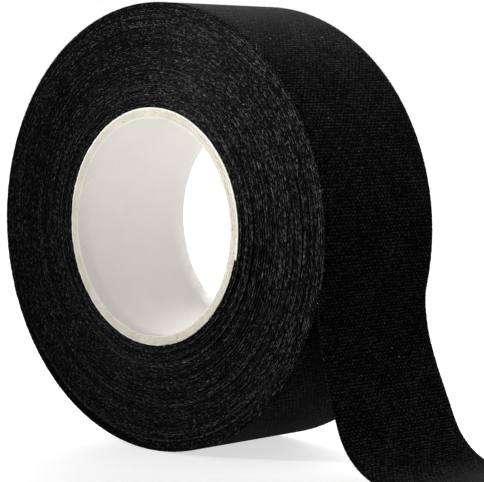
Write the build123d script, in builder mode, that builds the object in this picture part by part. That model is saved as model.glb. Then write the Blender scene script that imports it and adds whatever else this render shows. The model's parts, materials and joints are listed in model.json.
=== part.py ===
"""A roll of cotton grip tape on a paperboard core, with its free end peeled off and draped.

The core is a spiral-wound paper tube: five plies, each a strip laid as a helix with an open butt
seam, glued one over the other.  The tape is one woven cotton strip with an adhesive coat on its
inner side, wound clockwise outwards as seen from the front.  At the peel line it leaves the roll,
hangs, bends outwards and lies flat on the surface that the roll stands on.

Frame: millimetres, origin at the centre of the core's bore, the roll's axis along Y with the front
edge of the tape at -Y, +Z up.  Side profiles are drawn on Plane.XZ, whose local x and y run along
the frame's X and Z, and are extruded both ways along Y.
"""

import os
from math import cos, pi, radians, sin, tan

from build123d import *

# Tape
tape_width = 25.0
cloth_thickness = 0.24  # woven cotton backing
adhesive_thickness = 0.09  # rubber adhesive on the cloth's inner side
turns = 52  # whole turns on the core, the outermost one included

# Core, from the bore outwards
bore_radius = 17.5
liner_thickness = 0.20  # white paper liner
board_ply_thickness = 0.40  # chipboard
board_ply_count = 3
face_ply_thickness = 0.30  # bleached ply that the first turn of tape sticks to
core_recess = 0.1  # from the tape's edge in to the core's cut end, on each side
seam_gap = 0.25  # opening of a ply's butt seam
seam_lay_angle = 40.0  # degrees between a seam and the core's axis
first_seam_angle = -40.0  # degrees from +X where the liner's seam crosses the core's middle
seam_stagger = 72.0  # degrees from each ply's seam to the seam of the ply over it

# Free end, from the roll outwards
peel_angle = -13.0  # degrees from +X to the line where the tape leaves the roll
peel_gap = 0.10  # from the end of the wound tape to the start of the free stretch
peel_bend_radius = 11.0  # of the short bend at the peel line
hang_angle_top = 6.0  # degrees from plumb where the hanging stretch starts
hang_angle_foot = 18.0  # degrees from plumb where the hanging stretch ends
landing_radius = 11.3  # of the bend from the hanging stretch onto the surface
fold_gap = 0.40  # from the end of that bend to the start of the lying stretch, for the fold to clear
lying_length = 27.0  # from there to the cut end

# Worked out from those
pitch = cloth_thickness + adhesive_thickness
core_radius = (
    bore_radius + liner_thickness + board_ply_count * board_ply_thickness + face_ply_thickness
)
core_length = tape_width - 2 * core_recess
roll_radius = core_radius + turns * pitch
peel = radians(peel_angle)
outward = Vector(cos(peel), sin(peel))  # from the axis to the peel line, in the profile plane
downward = Vector(sin(peel), -cos(peel))  # along the tape as it leaves the roll
surface_height = -(roll_radius - 0.75 * pitch + 0.25 * pitch * sin(peel))  # lowest wound point

# The free stretch's underside is three bends and a flat.  The middle bend is as large as the drop
# from the peel line to the surface needs.
hang_top, hang_foot = radians(hang_angle_top), radians(hang_angle_foot)
free_start = outward * (roll_radius - pitch) + downward * peel_gap
hang_drop = free_start.Y - surface_height
hang_drop -= peel_bend_radius * (sin(hang_top) - sin(peel))
hang_drop -= landing_radius * (1 - sin(hang_foot))
hang_radius = hang_drop / (sin(hang_foot) - sin(hang_top))
touchdown = free_start.X + landing_radius * cos(hang_foot)
touchdown += peel_bend_radius * (cos(peel) - cos(hang_top))
touchdown += hang_radius * (cos(hang_top) - cos(hang_foot))

os.makedirs("parts", exist_ok=True)


def finish(piece, name):
    """Label a finished piece and write it."""
    piece.part.label = name
    export_step(piece.part, f"parts/{name}.step")


def wound_arcs(depth):
    """One turn of the spiral, inwards from the peel line, at a depth below the roll's surface.

    It is two half circles, centred a quarter pitch either side of the axis on the line through
    the peel line.  The second is half a pitch smaller, so they join smoothly and close in by one
    pitch.
    """
    arcs = []
    for half, side in enumerate((1, -1)):
        radius = roll_radius - depth - pitch / 4 - half * pitch / 2
        arcs.append(CenterArc(outward * (side * pitch / 4), radius, peel_angle + 180 * half, 180))
    return arcs


def free_arcs(depth):
    """The free stretch's three bends, in order, at a depth below the roll's surface."""
    inset = pitch - depth  # from the tape's underside towards the centres of its bends
    start = outward * (roll_radius - depth) + downward * peel_gap
    bend = JernArc(start, downward, peel_bend_radius - inset, hang_angle_top - peel_angle)
    hang = JernArc(bend @ 1, bend % 1, hang_radius - inset, hang_angle_foot - hang_angle_top)
    landing = JernArc(hang @ 1, hang % 1, landing_radius - inset, 90 - hang_angle_foot)
    return [bend, hang, landing]


# ---- Core: five paper plies, each with a helical butt seam ----------------------------------
ply_names = ["core_liner"]
ply_names += [f"core_board_ply_{number}" for number in range(1, board_ply_count + 1)]
ply_names += ["core_face_ply"]
ply_thicknesses = [liner_thickness] + [board_ply_thickness] * board_ply_count
ply_thicknesses += [face_ply_thickness]

ply_inside = bore_radius
for ply_number, (ply_name, ply_thickness) in enumerate(zip(ply_names, ply_thicknesses)):
    ply_middle = ply_inside + ply_thickness / 2
    seam_length = core_length + 4 * seam_gap  # along the axis, past both ends of the ply
    seam_pitch = 2 * pi * ply_middle / tan(radians(seam_lay_angle))
    seam_angle = first_seam_angle + seam_stagger * ply_number
    start_angle = radians(seam_angle - 180 * seam_length / seam_pitch)
    seam_start = Plane(
        origin=(0, -seam_length / 2, 0),
        x_dir=(cos(start_angle), 0, -sin(start_angle)),
        z_dir=(0, 1, 0),
    )
    with BuildPart() as ply:
        with BuildSketch(Plane.XZ):
            Circle(ply_inside + ply_thickness)
            Circle(ply_inside, mode=Mode.SUBTRACT)
        extrude(amount=core_length / 2, both=True)
        with BuildLine() as seam:
            add(seam_start * Helix(seam_pitch, seam_length, ply_middle, mode=Mode.PRIVATE))
        with BuildSketch(Plane(seam.line @ 0, x_dir=seam_start.x_dir, z_dir=seam.line % 0)):
            Rectangle(ply_thickness * 2, seam_gap)
        sweep(path=seam.line, is_frenet=True, mode=Mode.SUBTRACT)
    finish(ply, ply_name)
    ply_inside += ply_thickness

# ---- Wound tape under the outermost turn, with its one-pitch step at the peel line ----------
with BuildPart() as wound_tape:
    with BuildSketch(Plane.XZ):
        with BuildLine():
            surface = wound_arcs(pitch)
            Line(surface[-1] @ 1, surface[0] @ 0)
        make_face()
        Circle(core_radius, mode=Mode.SUBTRACT)
    extrude(amount=tape_width / 2, both=True)
finish(wound_tape, "wound_tape")

# ---- Outermost turn and free stretch, each as the tape's two layers -------------------------
layer_depths = {"cloth": (0, cloth_thickness), "adhesive": (cloth_thickness, pitch)}
stretch_arcs = {"outer_turn": wound_arcs, "hanging_tape": free_arcs}

for layer, (near_depth, far_depth) in layer_depths.items():
    for stretch, arcs_at in stretch_arcs.items():
        with BuildPart() as curved_tape:
            with BuildSketch(Plane.XZ):
                with BuildLine():
                    near_side = arcs_at(near_depth)
                    far_side = arcs_at(far_depth)
                    Line(near_side[0] @ 0, far_side[0] @ 0)
                    Line(near_side[-1] @ 1, far_side[-1] @ 1)
                make_face()
            extrude(amount=tape_width / 2, both=True)
        finish(curved_tape, f"{stretch}_{layer}")

    with BuildPart() as flat_tape:
        with BuildSketch(Plane.XZ):
            with Locations((touchdown + fold_gap, surface_height + pitch - far_depth)):
                Rectangle(lying_length, far_depth - near_depth, align=(Align.MIN, Align.MIN))
        extrude(amount=tape_width / 2, both=True)
    finish(flat_tape, f"lying_tape_{layer}")
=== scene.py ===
"""A roll of black cotton grip tape, standing on its tread with its free end draped in front.

Metres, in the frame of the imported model: the roll's axis along Y through the origin, the front edge
of the tape at -Y, +Z up.  Angles round the roll are counter-clockwise from +X as seen from the front.
"""

import json

import bpy
import numpy as np
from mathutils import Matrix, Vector

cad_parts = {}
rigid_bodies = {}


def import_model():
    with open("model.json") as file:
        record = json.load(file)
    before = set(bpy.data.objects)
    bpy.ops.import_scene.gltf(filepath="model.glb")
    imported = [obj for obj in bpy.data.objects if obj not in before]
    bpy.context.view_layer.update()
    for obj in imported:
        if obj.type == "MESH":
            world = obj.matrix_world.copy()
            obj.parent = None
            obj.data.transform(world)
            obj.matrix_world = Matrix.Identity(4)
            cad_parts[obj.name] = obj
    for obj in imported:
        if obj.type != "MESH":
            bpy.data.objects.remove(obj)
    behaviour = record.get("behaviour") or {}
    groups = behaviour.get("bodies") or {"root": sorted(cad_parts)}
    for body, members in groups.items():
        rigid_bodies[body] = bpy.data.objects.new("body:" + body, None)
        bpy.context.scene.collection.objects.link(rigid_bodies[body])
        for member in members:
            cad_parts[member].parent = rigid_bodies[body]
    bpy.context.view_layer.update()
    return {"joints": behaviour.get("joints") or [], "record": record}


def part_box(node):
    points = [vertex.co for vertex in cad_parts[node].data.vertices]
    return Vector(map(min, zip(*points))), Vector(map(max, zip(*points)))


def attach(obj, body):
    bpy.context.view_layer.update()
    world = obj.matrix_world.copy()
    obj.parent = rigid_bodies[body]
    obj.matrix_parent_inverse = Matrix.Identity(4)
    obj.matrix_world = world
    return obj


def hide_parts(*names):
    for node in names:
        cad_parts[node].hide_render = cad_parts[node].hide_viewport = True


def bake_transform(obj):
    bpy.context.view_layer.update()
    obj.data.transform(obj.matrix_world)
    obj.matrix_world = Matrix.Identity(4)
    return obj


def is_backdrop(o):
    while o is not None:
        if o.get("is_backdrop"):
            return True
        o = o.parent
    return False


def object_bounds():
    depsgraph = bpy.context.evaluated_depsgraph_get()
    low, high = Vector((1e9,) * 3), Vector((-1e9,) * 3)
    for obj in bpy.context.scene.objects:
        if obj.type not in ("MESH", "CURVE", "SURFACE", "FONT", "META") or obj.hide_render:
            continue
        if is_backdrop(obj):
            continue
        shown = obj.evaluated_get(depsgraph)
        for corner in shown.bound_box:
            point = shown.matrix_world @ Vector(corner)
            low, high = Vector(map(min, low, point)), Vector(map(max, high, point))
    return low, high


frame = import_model()

# ---- Paper core -----------------------------------------------------------------------------------
# Five strips of paper wound as helices, each over the last, with glue between: a white liner, three
# plies of board and a bleached outer ply.  The tube is sawn to length, so its ends are a little
# rough, and each ply's two edges meet in a butt seam.

MM = 0.001


def ring_mesh(name, points, strip):
    """A skin over rings of points: ring i is joined to ring i + 1 by quads, and each ring is closed.

    points is (rings, points round a ring, 3).  strip is (rings, points round a ring + 1, 2), the
    place of each on the flat strip, with the ring's first point once more at its end.  Both end
    rings are filled.  The winding is turned round where it encloses a negative volume.
    """
    rings, around = points.shape[:2]
    i, j = np.meshgrid(np.arange(rings - 1), np.arange(around), indexing="ij")
    k = (j + 1) % around
    quads = np.stack([i * around + j, (i + 1) * around + j, (i + 1) * around + k, i * around + k], -1)
    uvs = np.stack([strip[i, j], strip[i + 1, j], strip[i + 1, j + 1], strip[i, j + 1]], -2)
    quads, uvs = quads.reshape(-1, 4), uvs.reshape(-1, 4, 2)
    flat = points.reshape(-1, 3)
    a, b, c, d = (flat[quads[:, n]] for n in range(4))
    if (np.cross(a, b) * c + np.cross(a, c) * d).sum() < 0:
        quads, uvs = quads[:, ::-1], uvs[:, ::-1]
        ends = [np.arange(around), (rings - 1) * around + np.arange(around)[::-1]]
    else:
        ends = [np.arange(around)[::-1], (rings - 1) * around + np.arange(around)]
    corners = np.concatenate([quads.ravel()] + ends)
    first = np.append(np.arange(len(quads)) * 4, [quads.size, quads.size + around])
    mesh = bpy.data.meshes.new(name)
    mesh.vertices.add(len(flat))
    mesh.vertices.foreach_set("co", flat.ravel())
    mesh.loops.add(len(corners))
    mesh.loops.foreach_set("vertex_index", corners)
    mesh.polygons.add(len(first))
    mesh.polygons.foreach_set("loop_start", first)
    mesh.polygons.foreach_set("use_smooth", np.arange(len(first)) < len(quads))
    layer = mesh.uv_layers.new(name="Strip")
    flat_uvs = np.zeros((len(corners), 2))
    flat_uvs[: quads.size] = uvs.reshape(-1, 2)
    layer.data.foreach_set("uv", flat_uvs.ravel())
    mesh.update(calc_edges=True)
    mesh.validate()
    thing = bpy.data.objects.new(name, mesh)
    bpy.context.scene.collection.objects.link(thing)
    return thing


class Shade:
    """A material whose nodes are added one call at a time, with the Principled shader as its end."""

    def __init__(self, name, **constants):
        self.material = bpy.data.materials.new(name)
        self.material.use_nodes = True
        self.nodes = self.material.node_tree.nodes
        self.links = self.material.node_tree.links
        self.shader = self.nodes["Principled BSDF"]
        for socket, value in constants.items():
            self.shader.inputs[socket.replace("_", " ")].default_value = value

    def plug(self, value, socket):
        """Feeds a socket from another one, or gives it a plain value."""
        if isinstance(value, bpy.types.NodeSocket):
            self.links.new(value, socket)
        else:
            socket.default_value = value

    def node(self, kind, out=0, settings=(), **inputs):
        """Adds a node and gives one of its outputs.

        An input is named with _ for its spaces, or is i and its number where names repeat.
        """
        made = self.nodes.new("ShaderNode" + kind)
        for key, value in dict(settings).items():
            setattr(made, key, value)
        for key, value in inputs.items():
            index = int(key[1:]) if key[0] == "i" and key[1:].isdigit() else key.replace("_", " ")
            self.plug(value, made.inputs[index])
        return made.outputs[out]

    def math(self, operation, a, b=0.0, c=0.0):
        """The Math node's result on two or three values."""
        return self.node("Math", settings={"operation": operation}, i0=a, i1=b, i2=c)

    def mix(self, share, a, b):
        """The first colour at a share of 0, and the second at 1."""
        return self.node("Mix", out=2, settings={"data_type": "RGBA"}, i0=share, i6=a, i7=b)

    def ramp(self, value, low, high):
        """0 up to the low value, 1 from the high one, and even in between."""
        return self.node(
            "MapRange", settings={"clamp": True}, Value=value, From_Min=low, From_Max=high
        )

    def noise(self, place, scale, detail=2.0, roughness=0.5):
        """Perlin noise, with the scale in waves per unit of place."""
        return self.node("TexNoise", Vector=place, Scale=scale, Detail=detail, Roughness=roughness)

    def bump(self, height, distance, strength=1.0):
        """A normal tilted by a relief whose height of 1 stands for the distance."""
        return self.node("Bump", Height=height, Distance=distance, Strength=strength)

    def finish(self, colour, normal):
        """Ends the tree at the shader's colour and normal."""
        self.plug(colour, self.shader.inputs["Base Color"])
        self.plug(normal, self.shader.inputs["Normal"])

    def wear(self, piece):
        """Puts the material on a piece."""
        piece.data.materials.append(self.material)


def paper(name, pale, dark, gloss):
    """Paper: cloudy formation, short fibres and a felt-fine tooth, on Object coordinates."""
    shade = Shade(name, Roughness=gloss, Specular_IOR_Level=0.3)
    place = shade.node("TexCoord", out="Object")
    cloud = shade.noise(place, 260.0, 3.0, 0.6)
    fibre = shade.noise(place, 2600.0, 3.0, 0.7)
    share = shade.math("MULTIPLY_ADD", fibre, 0.5, shade.math("MULTIPLY", cloud, 0.5))
    shade.finish(
        shade.mix(shade.ramp(share, 0.35, 0.65), dark, pale), shade.bump(fibre, 0.03 * MM, 0.35)
    )
    return shade


liner_paper = paper("liner_paper", (0.76, 0.742, 0.712, 1), (0.73, 0.712, 0.682, 1), 0.6)
board_paper = paper("board_paper", (0.72, 0.68, 0.58, 1), (0.54, 0.50, 0.40, 1), 0.9)
face_paper = paper("face_paper", (0.86, 0.85, 0.80, 1), (0.78, 0.77, 0.71, 1), 0.8)

bore_mount = next(m for m in frame["record"]["mounts"] if m["name"] == "core_bore")
bore_radius = bore_mount["dims"]["r_mm"] * MM
plies = (
    ("core_liner", liner_paper, "core_liner_paper"),
    ("core_board_ply_1", board_paper, "core_board"),
    ("core_board_ply_2", board_paper, "core_board"),
    ("core_board_ply_3", board_paper, "core_board"),
    ("core_face_ply", face_paper, "core_face_paper"),
)
seam_gap = 0.08 * MM
seam_lay = np.radians(40)  # between a seam and the core's axis
seam_stagger = np.radians(-72)  # from each ply's seam to the next one's
seam_angle = np.radians(40)  # of the liner's seam, where it crosses the core's middle
rim_soften = 0.03 * MM  # a cut end's rounding
ply_rings, ply_columns = 361, 9


def waves(rng, along, lengths, height):
    """A smooth wander: one sine of each wavelength, with its own phase, together of that height."""
    phases = rng.uniform(0, 2 * np.pi, len(lengths))
    total = sum(np.sin(2 * np.pi * along / w + p) for w, p in zip(lengths, phases))
    return height * total / np.sqrt(len(lengths))


def paper_ply(name, inside, outside, half_length, seam, rng):
    """A strip rolled into a helix, from one side of its seam round to the other.

    A ring is the strip's section along its edge: out along the outer face, over the back end, in
    along the inner face and over the front end.  The rings turn with the seam's lay, and the ends
    wander and pucker a few hundredths of a millimetre.
    """
    middle = (inside + outside) / 2
    last_turn = 2 * np.pi - seam_gap / (middle * np.cos(seam_lay))
    turn = np.linspace(0, last_turn, ply_rings)[:, None]
    steps = np.linspace(-1, 1, ply_columns)
    across = np.concatenate([steps * (half_length - rim_soften), [half_length] * 2])
    across = np.concatenate([across, -across])[None, :] * np.ones_like(turn)
    soft = min(rim_soften, (outside - inside) / 3)
    rims = [outside - soft, inside + soft]
    sides = np.full((2, ply_columns), [[outside], [inside]])
    depth = np.concatenate([sides[0], rims, sides[1], rims[::-1]])
    place = seam + turn - across * np.tan(seam_lay) / middle
    fray = waves(rng, place, 2 * np.pi / np.array([3, 7, 17, 41, 67]), 0.035 * MM)
    fray = fray + rng.normal(0, 0.012 * MM, fray.shape)
    at_end = np.clip((abs(across) - 0.8 * half_length) / (0.2 * half_length), 0, 1)
    across = across + np.sign(across) * fray * at_end**8
    points = np.stack([depth * np.cos(place), across, depth * np.sin(place)], -1)
    strip = np.stack([middle * turn + 0 * across, across], -1)
    return ring_mesh(name, points, np.concatenate([strip, strip[:, :1]], 1))


def hairs(name, roots, aims, bends, thickness):
    """Fine hairs: each a three-sided tube that runs from its root along its aim, leaves that line
    towards its bend as the square of the way along, and tapers to its tip.

    roots, aims and bends are (hairs, 3), the last two with the lengths in them; thickness is (hairs,).
    """
    way = np.array([0, 0.33, 0.66, 1.0])
    taper = np.array([1.0, 0.9, 0.65, 0.2])
    spine = roots[:, None] + aims[:, None] * way[:, None] + bends[:, None] * way[:, None] ** 2
    ahead = aims / np.linalg.norm(aims, axis=1, keepdims=True)
    askew = np.cross(ahead, np.roll(ahead, 1, axis=1) + np.array([0.31, 0.17, 0.53]))
    askew = askew / np.linalg.norm(askew, axis=1, keepdims=True)
    level = np.cross(ahead, askew)
    corner = np.arange(3) * 2 * np.pi / 3
    section = askew[:, None] * np.cos(corner)[:, None] + level[:, None] * np.sin(corner)[:, None]
    radii = thickness[:, None] / 2 * taper
    points = spine[:, :, None] + section[:, None] * radii[:, :, None, None]
    first = (np.arange(len(roots)) * 12)[:, None, None, None]
    ring = (np.arange(3) * 3)[None, :, None, None]
    side = np.array([[0, 1, 4, 3], [1, 2, 5, 4], [2, 0, 3, 5]])[None, None]
    walls = (first + ring + side).reshape(-1, 4)
    ends = (first[:, :, 0] + np.array([[2, 1, 0], [9, 10, 11]])).reshape(-1, 3)
    mesh = bpy.data.meshes.new(name)
    mesh.from_pydata(points.reshape(-1, 3), [], walls.tolist() + ends.tolist())
    mesh.update()
    thing = bpy.data.objects.new(name, mesh)
    bpy.context.scene.collection.objects.link(thing)
    return thing


ply_inside = bore_radius
for number, (node, ply_paper, slot) in enumerate(plies):
    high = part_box(node)[1]
    ply = paper_ply(
        node + "_paper", ply_inside, high[0], high[1], seam_angle + number * seam_stagger,
        np.random.default_rng(40 + number),
    )
    ply_paper.wear(ply)
    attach(ply, "roll")
    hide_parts(node)
    ply_inside = high[0]
core_radius, core_end = high[:2]

rng = np.random.default_rng(61)
burr_count = 260
burr_radii = [  # on the liner, in the outer ply and in the board
    bore_radius + 0.03 * MM, core_radius - 0.25 * MM, bore_radius + 0.9 * MM
]
burr_angle = rng.uniform(0, 2 * np.pi, burr_count)
burr_radius = rng.choice(burr_radii, burr_count)
burr_out = np.stack([np.cos(burr_angle), np.zeros(burr_count), np.sin(burr_angle)], -1)
burr_end = np.where(np.arange(burr_count) % 2, 1.0, -1.0)[:, None] * np.array([0, 1.0, 0])
burrs = hairs(
    "core_burrs",
    burr_out * burr_radius[:, None] + burr_end * (core_end - 0.05 * MM),
    burr_end * rng.uniform(0.05, 0.22, (burr_count, 1)) * MM + rng.normal(0, 0.08 * MM, (burr_count, 3)),
    rng.normal(0, 0.10 * MM, (burr_count, 3)),
    rng.uniform(0.03, 0.08, burr_count) * MM,
)
face_paper.wear(burrs)
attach(burrs, "roll")

# ---- Wound turns ----------------------------------------------------------------------------------
# The tape under the outermost turn: one strip of cotton cloth with adhesive on its inner side, wound
# turn on turn.  The cloth's slit edges show on both sides of the roll as fuzzy rings, and the
# adhesive lies a little back between them.

peel_hinge, fold_hinge = (
    next(j for j in frame["joints"] if j["name"] == name) for name in ("tail_peel", "tail_fold")
)
peel_line = np.array(peel_hinge["pos_m"])[[0, 2]]
roll_radius = np.hypot(*peel_line)
peel_angle = np.arctan2(peel_line[1], peel_line[0])
cloth_low, cloth_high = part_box("lying_tape_cloth")
cloth_thickness = cloth_high[2] - cloth_low[2]
pitch = cloth_high[2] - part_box("lying_tape_adhesive")[0][2]
half_width = cloth_high[1]
turns = round((roll_radius - core_radius) / pitch)
slack_right, slack_skew, slack_low, slack_oval = 0.022, 0.008, 0.005, 0.005  # of the radius


def wound_path(angle_in):
    """The tape on the roll, by the angle inwards from the peel line.

    Gives points of the tape's outer face, the directions out of it, the distance along the tape, and
    how the winding is out of round there.  The distance is nought at the peel line and negative
    inwards: the spiral loses a pitch in each turn.  The hand-wound roll is a little fuller on its
    right, more so at the back, and that grows evenly from the core to the outermost turn: the first
    vector of a pair is the shift at mid-width and the second what the back edge has besides.
    """
    radius = roll_radius - pitch * angle_in / (2 * np.pi)
    angle = peel_angle + angle_in
    out = np.stack([np.cos(angle), np.sin(angle)], -1)
    along = -(roll_radius * angle_in - pitch * angle_in**2 / (4 * np.pi))
    share = (radius - core_radius) / (roll_radius - core_radius) * roll_radius
    fuller = slack_right * np.cos(angle) - slack_low * np.sin(angle) + slack_oval * np.cos(2 * angle)
    slack = np.stack([share * fuller, share * slack_skew * np.cos(angle)], -1)
    return radius[:, None] * out, out, along, slack[:, :, None] * out[:, None, :]


telescoping = np.random.default_rng(7)
wander_lengths = np.array([0.19, 0.31, 0.41, 0.53, 0.83])  # metres of tape
wander_phases = telescoping.uniform(0, 2 * np.pi, len(wander_lengths))
wander_height = 0.075 * MM


def winding_wander(along):
    """How far the tape strays along the axis as it winds: a few slow sines of its length."""
    waves_here = np.sin(2 * np.pi * along[:, None] / wander_lengths + wander_phases)
    return wander_height * waves_here.sum(1)


def tape_strip(name, path, top, under, edge_back, columns, fray, rng):
    """A layer of tape carried along a path, between two depths below the tape's outer face.

    A ring goes along the outer side from the front edge to the back, round that edge, home along
    the inner side and round the front edge.  edge_back is how far both edges lie in from the tape's
    width, and fray how unevenly they do.
    """
    face, out, along, slack = path
    count = len(along)
    rim = min(0.08 * MM, (under - top) / 2)
    inner_half = half_width - edge_back
    steps = np.linspace(-1, 1, columns)
    y = np.concatenate([steps * (inner_half - rim), [inner_half] * 2])
    y = np.concatenate([y, -y])
    share = np.concatenate([np.zeros(columns), [0.3, 0.7], np.ones(columns), [0.7, 0.3]])
    depth = top + (under - top) * share
    ring = len(y)
    at_edge = abs(y) > inner_half - 1.5 * rim
    across = y[None, :] + winding_wander(along)[:, None]
    across = across + np.sign(y) * at_edge * rng.normal(0, fray, (count, ring))
    deep = depth[None, :] + at_edge * rng.normal(0, 0.3 * fray, (count, ring))
    where = face[:, None, :] - out[:, None, :] * deep[..., None]
    where = where + slack[:, None, 0] + slack[:, None, 1] * (y / half_width)[None, :, None]
    points = np.stack([where[..., 0], across, where[..., 1]], -1)
    sides = np.hypot(np.diff(y, append=y[0]), np.diff(depth, append=depth[0]))
    girth = np.concatenate([[0], np.cumsum(sides)]) - inner_half + rim
    strip = np.stack(np.broadcast_arrays(along[:, None], girth[None, :]), -1)
    return ring_mesh(name, points, strip)


def cotton_shade(name, **shine):
    """A cotton material's start: the shade, the place on the flat strip, and its two parts, the
    length along the strip and the way round its section.
    """
    shade = Shade(name, Roughness=0.95, Sheen_Roughness=0.5, **shine)
    strip = shade.node("UVMap", settings={"uv_map": "Strip"})
    parts = shade.nodes.new("ShaderNodeSeparateXYZ")
    shade.links.new(strip, parts.inputs[0])
    return shade, strip, parts.outputs[0], parts.outputs[1]


def stretched(shade, along, across, length, width):
    """The strip's place in units of a length along it and a width across it, for long noise."""
    return shade.node(
        "CombineXYZ",
        X=shade.math("MULTIPLY", along, 1 / length),
        Y=shade.math("MULTIPLY", across, 1 / width),
    )


def cut_cotton_shade(name, dark, pale, fleck):
    """The slit edge of the cloth: yarn ends and broken fibres, drawn out along the tape.

    Dashes lie along the tape, some pale enough to read as flecks; the tone drifts slowly with the
    tape's length, so whole turns are lighter or darker than their neighbours.
    """
    shade, strip, along, across = cotton_shade(name, Specular_IOR_Level=0.04, Sheen_Weight=0.006)
    dash = shade.noise(stretched(shade, along, across, 0.62 * MM, 0.40 * MM), 1.0, roughness=0.7)
    slow = shade.noise(stretched(shade, along, across, 55 * MM, 9 * MM), 1.0, roughness=0.6)
    patch = shade.noise(stretched(shade, along, across, 4 * MM, 9 * MM), 1.0, roughness=0.6)
    tone = shade.math("MULTIPLY_ADD", slow, 0.35, shade.math("MULTIPLY_ADD", patch, 0.25, dash))
    body = shade.mix(shade.ramp(tone, 0.80, 0.98), dark, pale)
    share = shade.math("MULTIPLY", shade.ramp(dash, 0.64, 0.72), shade.ramp(patch, 0.50, 0.64))
    shade.finish(shade.mix(share, body, fleck), shade.bump(dash, 0.30 * MM))
    return shade


rib_pitch, yarn_pitch = 0.50 * MM, 0.42 * MM


def woven_cotton_shade(name, dark, pale, fleck):
    """The cloth's woven face: fine weft ribs across the tape over and under warp yarns along it.

    A nap of broken fibres blurs the weave, the dye is a little uneven, and specks of lint lie on it.
    The colour is also paler on the raised ribs, yarns and nap and darker in the hollows between them:
    painted highlight and painted shade of the weave's relief, on top of its bump.
    """
    shade, strip, along, across = cotton_shade(name, Specular_IOR_Level=0.015, Sheen_Weight=0.003)
    sway = shade.math("SUBTRACT", shade.noise(strip, 600.0), 0.5)
    swing = shade.math("MULTIPLY", sway, 3.0)
    rib_phase = shade.math("MULTIPLY_ADD", along, 2 * np.pi / rib_pitch, swing)
    yarn_phase = shade.math("MULTIPLY_ADD", across, 2 * np.pi / yarn_pitch, swing)
    rib = shade.math("SINE", rib_phase)
    crossing = shade.math(
        "MULTIPLY",
        shade.math("SINE", shade.math("MULTIPLY", rib_phase, 0.5)),
        shade.math("SINE", shade.math("MULTIPLY", yarn_phase, 0.5)),
    )
    woven = shade.math("MULTIPLY_ADD", rib, 0.10, shade.math("MULTIPLY", crossing, 0.10))
    nap = shade.noise(strip, 2600.0, roughness=0.7)
    thick_yarn = shade.noise(stretched(shade, along, across, rib_pitch, 1.4 * MM), 1.0)
    relief = shade.math("ADD", woven, shade.math("MULTIPLY_ADD", thick_yarn, 0.6, nap))
    # The colour follows the relief: paler on raised ribs, yarns and nap, darker between them. This is
    # painted highlight and painted shade of the weave. The slow noise added to it is the dye's real
    # unevenness.
    tone = shade.math("MULTIPLY_ADD", shade.noise(strip, 170.0), 0.25, relief)
    body = shade.mix(shade.ramp(tone, 0.96, 1.14), dark, pale)
    lint = shade.ramp(shade.noise(strip, 1500.0, 1.0), 0.76, 0.80)
    shade.finish(shade.mix(lint, body, fleck), shade.bump(relief, 0.16 * MM))
    return shade


cut_cotton = cut_cotton_shade(
    "cut_cotton", (0.0002, 0.0002, 0.0002, 1), (0.027, 0.027, 0.0274, 1), (0.105, 0.105, 0.106, 1)
)
# Dark for the weave's hollows and pale for its raised yarns: partly the cloth's own tone, partly painted
# shade and painted highlight.
woven_cotton = woven_cotton_shade(
    "woven_cotton", (0.0001, 0.0001, 0.0001, 1), (0.013, 0.013, 0.0132, 1), (0.09, 0.09, 0.09, 1)
)

# Black rubber adhesive: smooth, a little shiny, with a faint orange-peel.
adhesive = Shade(
    "adhesive", Roughness=0.6, Specular_IOR_Level=0.08, Base_Color=(0.002, 0.002, 0.002, 1)
)
orange_peel = adhesive.noise(adhesive.node("TexCoord", out="Object"), 1500.0, 3.0)
adhesive.plug(adhesive.bump(orange_peel, 0.03 * MM, 0.6), adhesive.shader.inputs["Normal"])

turn_groups = 4
steps_per_turn = 360
hidden_columns = 2  # points across a side that its neighbours hide
for group in range(turn_groups):
    first = 1 + (turns - 1) * group // turn_groups
    last = 1 + (turns - 1) * (group + 1) // turn_groups
    angles = np.linspace(first, last, (last - first) * steps_per_turn + 1) * 2 * np.pi
    path = wound_path(angles)
    rng = np.random.default_rng(100 + group)
    cloth = tape_strip(
        f"wound_cloth_{group + 1}", path, 0, cloth_thickness,
        edge_back=0, columns=hidden_columns, fray=0.03 * MM, rng=rng,
    )
    cut_cotton.wear(cloth)
    coat = tape_strip(
        f"wound_adhesive_{group + 1}", path, cloth_thickness, pitch,
        edge_back=0.18 * MM, columns=hidden_columns, fray=0.03 * MM, rng=rng,
    )
    adhesive.wear(coat)
    for piece, finish in ((cloth, "wound_cloth"), (coat, "adhesive")):
        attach(piece, "roll")
        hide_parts("wound_tape")
    along = path[2]

# ---- Outermost turn and free end --------------------------------------------------------------------
# The same strip, in three lengths: the outermost turn with its woven face bare, the stretch that
# peels off and hangs, and the stretch that lies on the surface up to its torn end.

surface_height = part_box("lying_tape_adhesive")[0][2]
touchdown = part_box("hanging_tape_adhesive")[1][0]  # where the free end comes down flat
peel_gap = 0.10 * MM  # from the peel line to the first bend
peel_bend_radius = 11.0 * MM
hang_top, hang_foot = np.radians([6.0, 18.0])  # headings from plumb, at the hang's two ends
landing_radius = 11.3 * MM
lift_off = peel_line * (1 - pitch / roll_radius)  # the underside's place on the peel line
drop = lift_off[1] - peel_gap * np.cos(peel_angle) - surface_height
drop -= peel_bend_radius * (np.sin(hang_top) - np.sin(peel_angle))
drop -= landing_radius * (1 - np.sin(hang_foot))
hang_radius = drop / (np.sin(hang_foot) - np.sin(hang_top))
lying_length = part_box("lying_tape_cloth")[1][0] - touchdown

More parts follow.
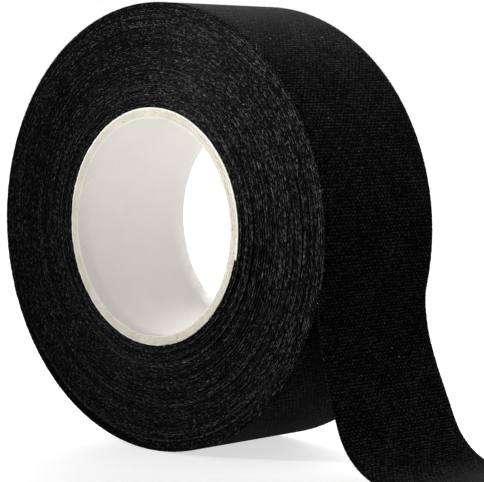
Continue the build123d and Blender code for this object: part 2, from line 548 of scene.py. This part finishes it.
bend_turns = np.array([hang_top - peel_angle, hang_foot - hang_top, np.pi / 2 - hang_foot])
bend_radii = np.array([peel_bend_radius, hang_radius, landing_radius])
bend_lengths = bend_turns * bend_radii
free_length = peel_gap + bend_lengths.sum() + lying_length
bend_ends = peel_gap + np.append(0, np.cumsum(bend_lengths))
knots = np.concatenate([[0], bend_ends, [free_length]])
knot_headings = peel_angle + np.concatenate([[0, 0], np.cumsum(bend_turns), [bend_turns.sum()]])
foot_spread = np.array([1.25, 0.85]) * MM  # at mid-width, and what the back edge has besides
spread_from, spread_to = 0.80, 0.20  # heights it starts and is full at, as shares of the drop


def free_path(along):
    """The tape off the roll, by the distance past the peel line, as wound_path gives it.

    Its heading from plumb grows evenly along each bend, and its underside is the sum of the small
    steps along that heading.  The roll's slack at the peel line carries it out to the right all the
    way, and down by less and less as it nears the surface.  Low down it also reaches out by the
    foot's spread, which grows smoothly with the way down.
    """
    fine = np.linspace(0, free_length, 4001)
    heading = np.interp(fine, knots, knot_headings)
    step = np.stack([np.sin(heading), -np.cos(heading)], -1)
    middle = (step[1:] + step[:-1]) / 2 * (fine[1] - fine[0])
    under = lift_off + np.concatenate([[[0, 0]], np.cumsum(middle, 0)])
    here = np.interp(along, knots, knot_headings)
    out = np.stack([np.cos(here), np.sin(here)], -1)
    place = np.stack([np.interp(along, fine, under[:, axis]) for axis in (0, 1)], -1)
    height = (place[:, 1] - surface_height) / (lift_off[1] - surface_height)
    carried = np.stack([np.ones_like(height), height], -1)
    slack = wound_path(np.zeros(1))[3] * carried[:, None, :]
    low_down = np.clip((spread_from - height) / (spread_from - spread_to), 0, 1)
    slack[:, :, 0] += (low_down**2 * (3 - 2 * low_down))[:, None] * foot_spread
    return place + out * pitch, out, along, slack


def joined(*paths):
    """Paths end to end, as one."""
    return tuple(np.concatenate(parts) for parts in zip(*paths))


start_on_roll = np.radians(25)  # the hanging stretch's cloth starts this far back on the roll
split_heading = np.radians(75)  # from plumb, where the hanging stretch becomes the lying one
split_at = np.interp(split_heading, knot_headings[1:5], knots[1:5])
stretches = {
    "outer_turn": wound_path(np.linspace(2 * np.pi, start_on_roll, 900)),
    "hanging_tape": joined(
        wound_path(np.linspace(start_on_roll, 0, 64)[:-1]), free_path(np.linspace(0, split_at, 150))
    ),
    "lying_tape": free_path(np.linspace(split_at, free_length, 130)),
}
tear_length, tear_height = 2 * MM, 0.35 * MM
tear_waves = np.array([11, 4.7, 2.3, 1.1]) * MM


def follow(piece, stretch):
    """The outer turn rides on the roll; the free end's pieces keep their place baked into their points
    and ride on no body.
    """
    if stretch == "outer_turn":
        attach(piece, "roll")
    elif stretch == "hanging_tape":
        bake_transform(piece)
    else:
        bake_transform(piece)


def tear(piece, end_x, rng):
    """The end becomes a ragged line: a wander that grows as the square of the way along the tear."""
    flat = np.empty(len(piece.data.vertices) * 3)
    piece.data.vertices.foreach_get("co", flat)
    x, y = flat[0::3], flat[1::3]
    way = np.clip((x - end_x + tear_length) / tear_length, 0, 1)
    flat[0::3] = x + way**2 * (waves(rng, y, tear_waves, tear_height) - 0.5 * MM)
    piece.data.vertices.foreach_set("co", flat)
    piece.data.update()


lying_face, _, _, lying_slack = stretches["lying_tape"]
torn_x = lying_face[-1, 0] + lying_slack[-1, 0, 0]

for number, (stretch, path) in enumerate(stretches.items()):
    rng = np.random.default_rng(200 + number)
    cloth = tape_strip(
        f"{stretch}_cloth_weave", path, 0, cloth_thickness,
        edge_back=0, columns=25, fray=0.025 * MM, rng=rng,
    )
    woven_cotton.wear(cloth)
    coat = tape_strip(
        f"{stretch}_adhesive_coat", path, cloth_thickness, pitch,
        edge_back=0.15 * MM, columns=9, fray=0.02 * MM, rng=rng,
    )
    adhesive.wear(coat)
    for piece, layer in ((cloth, "cloth"), (coat, "adhesive")):
        if stretch == "lying_tape":
            tear(piece, torn_x, np.random.default_rng(9))
        follow(piece, stretch)
        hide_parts(f"{stretch}_{layer}")
    along = path[2]

# ---- Fuzz and lint ------------------------------------------------------------------------------
# Broken cotton fibres that stand out of both slit edges of the outer turn and the free end, a few
# pale ones caught in the edges, and the loose warp threads of the torn end.

fuzz_black = Shade(
    "fuzz_black", Base_Color=(0.010, 0.010, 0.0105, 1), Roughness=0.9, Specular_IOR_Level=0.1
)
fuzz_grey = Shade(
    "fuzz_grey", Base_Color=(0.20, 0.20, 0.20, 1), Roughness=0.9, Specular_IOR_Level=0.2
)
hairs_per_metre = 7500
hair_kinds = (  # name, material, share of the hairs, lengths in mm, thicknesses in mm
    ("fuzz", fuzz_black, 1.0, (0.10, 0.42), (0.016, 0.030)),
    ("lint", fuzz_grey, 0.03, (0.5, 1.3), (0.020, 0.034)),
)
for number, (stretch, path) in enumerate(stretches.items()):
    rng = np.random.default_rng(300 + number)
    face, out, along, slack = path
    count = int(abs(along[-1] - along[0]) * hairs_per_metre)
    for kind, finish, share, lengths, widths in hair_kinds:
        here = rng.integers(2, len(along) - 2, int(count * share))
        total = len(here)
        edge = np.where(rng.random(total) < 0.5, -1.0, 1.0)
        radial = np.insert(out[here], 1, 0, axis=1)
        axial = edge[:, None] * np.array([0, 1.0, 0])
        forward = np.cross(radial, np.array([0, 1.0, 0]))
        depth = rng.uniform(0, 1, total) * cloth_thickness
        root = face[here] + slack[here, 0] + slack[here, 1] * edge[:, None]
        root_y = edge * (half_width - 0.03 * MM) + winding_wander(along[here])
        root = np.insert(root, 1, root_y, axis=1) - radial * depth[:, None]
        reach = rng.uniform(*lengths, total)[:, None] * MM
        lean = rng.normal(0, 0.7, (total, 2))
        aim = axial * rng.uniform(0.2, 1.0, (total, 1)) + forward * lean[:, :1]
        aim = aim + radial * rng.uniform(-0.1, 0.8, (total, 1))
        bend = radial * rng.uniform(-0.2, 0.5, (total, 1)) + forward * lean[:, 1:] * 0.6
        hair = hairs(
            f"{stretch}_{kind}", root, aim * reach, bend * reach, rng.uniform(*widths, total) * MM
        )
        finish.wear(hair)
        follow(hair, stretch)

rng = np.random.default_rng(77)
loose = 46
thread_root = np.stack([
    np.full(loose, torn_x - 0.9 * MM),
    rng.uniform(-0.97, 0.97, loose) * half_width,
    np.full(loose, surface_height + pitch - cloth_thickness / 2),
], -1)
thread_reach = rng.uniform(1.0, 2.6, (loose, 1)) * MM
thread_aim = [np.ones(loose), rng.normal(0, 0.25, loose), rng.uniform(0, 0.12, loose)]
thread_bend = [np.zeros(loose), rng.normal(0, 0.25, loose), np.full(loose, -0.06)]
threads = hairs(
    "torn_end_threads",
    thread_root,
    thread_reach * np.stack(thread_aim, -1),
    thread_reach * np.stack(thread_bend, -1),
    rng.uniform(0.05, 0.11, loose) * MM,
)
fuzz_black.wear(threads)
follow(threads, "lying_tape")

# ---- Studio ---------------------------------------------------------------------------------------
# A white sweep lit from behind by two broad lights, and soft pools of light from snooted lamps: on the
# roll's upper face, over its top and on the foot of the free end.  Flags keep the strongest of them
# off the pale core and the sweep.

floor_mesh = bpy.data.meshes.new("floor")
floor_reach = 4.0
floor_mesh.from_pydata(
    [
        (x * floor_reach, y * floor_reach, surface_height)
        for x, y in ((-1, -1), (1, -1), (1, 1), (-1, 1))
    ],
    [], [(0, 1, 2, 3)],
)
floor = bpy.data.objects.new("floor", floor_mesh)
bpy.context.scene.collection.objects.link(floor)
floor_white = Shade(
    "floor_white", Base_Color=(0.80, 0.80, 0.80, 1), Roughness=1.0, Specular_IOR_Level=0.0,
    Emission_Color=(1, 1, 1, 1), Emission_Strength=0.65,
)
floor_white.wear(floor)
floor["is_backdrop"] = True


def aimed(name, data, place, aim):
    """A light or a camera at a place, facing a point."""
    thing = bpy.data.objects.new(name, data)
    thing.location = place
    thing.rotation_euler = (Vector(aim) - Vector(place)).to_track_quat("-Z", "Y").to_euler()
    bpy.context.scene.collection.objects.link(thing)
    return thing


broad_angle = np.radians(50)
for name, place, energy in (
    ("back_left", (-0.68, 0.68, 0.26), 4.4),
    ("back", (0.0, 0.96, 0.26), 1.8),
):
    broad = bpy.data.lights.new(name, "SUN")
    broad.angle = broad_angle
    broad.energy = energy
    aimed(name, broad, place, (0, 0, 0))

# The flagged lamps light these pieces alone, which leaves out the core and the floor.
flagged = bpy.data.collections.new("cloth_under_flagged_lamps")
for piece in bpy.data.objects:
    if piece.type == "MESH" and not {"floor", "core"} & set(piece.name.split("_")):
        flagged.objects.link(piece)

lamp_radius = 30 * MM
for name, place, aim, pool_radius, energy, cloth_only in (  # places and radii in mm, watts
    ("upper_left", (-120, -300, 150), (20, -12.5, 14), 60, 4.0, False),
    ("upper_left_flagged", (-120, -300, 150), (25, -12.5, 14), 56, 14.0, True),
    ("overhead_flagged", (20, -40, 300), (10, 0, 36), 50, 8.0, True),
    ("foot_flagged", (300, -200, 20), (55, 0, -36), 30, 3.0, True),
):
    snooted = bpy.data.lights.new(name, "SPOT")
    snooted.energy = energy
    snooted.shadow_soft_size = lamp_radius
    throw = np.linalg.norm(np.subtract(place, aim))
    snooted.spot_size = 2 * np.arctan(pool_radius / throw)
    snooted.spot_blend = 1.0
    lamp = aimed(name, snooted, np.array(place) * MM, np.array(aim) * MM)
    if cloth_only:
        lamp.light_linking.receiver_collection = flagged

# The surround is white to the camera, and lights the scene at a fifth of that.
world = bpy.data.worlds.new("studio")
bpy.context.scene.world = world
world.use_nodes = True
glow = world.node_tree.nodes["Background"]
glow.inputs["Color"].default_value = (1, 1, 1, 1)
seen = world.node_tree.nodes.new("ShaderNodeLightPath")
strength = world.node_tree.nodes.new("ShaderNodeMapRange")
strength.inputs["To Min"].default_value = 0.2
strength.inputs["To Max"].default_value = 1.0
world.node_tree.links.new(seen.outputs["Is Camera Ray"], strength.inputs["Value"])
world.node_tree.links.new(strength.outputs["Result"], glow.inputs["Strength"])

camera_azimuth, camera_elevation = np.radians([44.42, 3.63])
camera_distance = 325.0 * MM
camera_aim = np.array([4.46, 4.11, -2.86]) * MM
towards_camera = np.array([
    np.sin(camera_azimuth) * np.cos(camera_elevation),
    -np.cos(camera_azimuth) * np.cos(camera_elevation),
    np.sin(camera_elevation),
])
lens = bpy.data.cameras.new("camera")
lens.lens = 146.47
lens.clip_start, lens.clip_end = 0.01, 10
camera = aimed("camera", lens, towards_camera * camera_distance, camera_aim)
bpy.context.scene.camera = camera
bpy.context.scene.view_settings.view_transform = "Standard"

low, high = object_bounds()
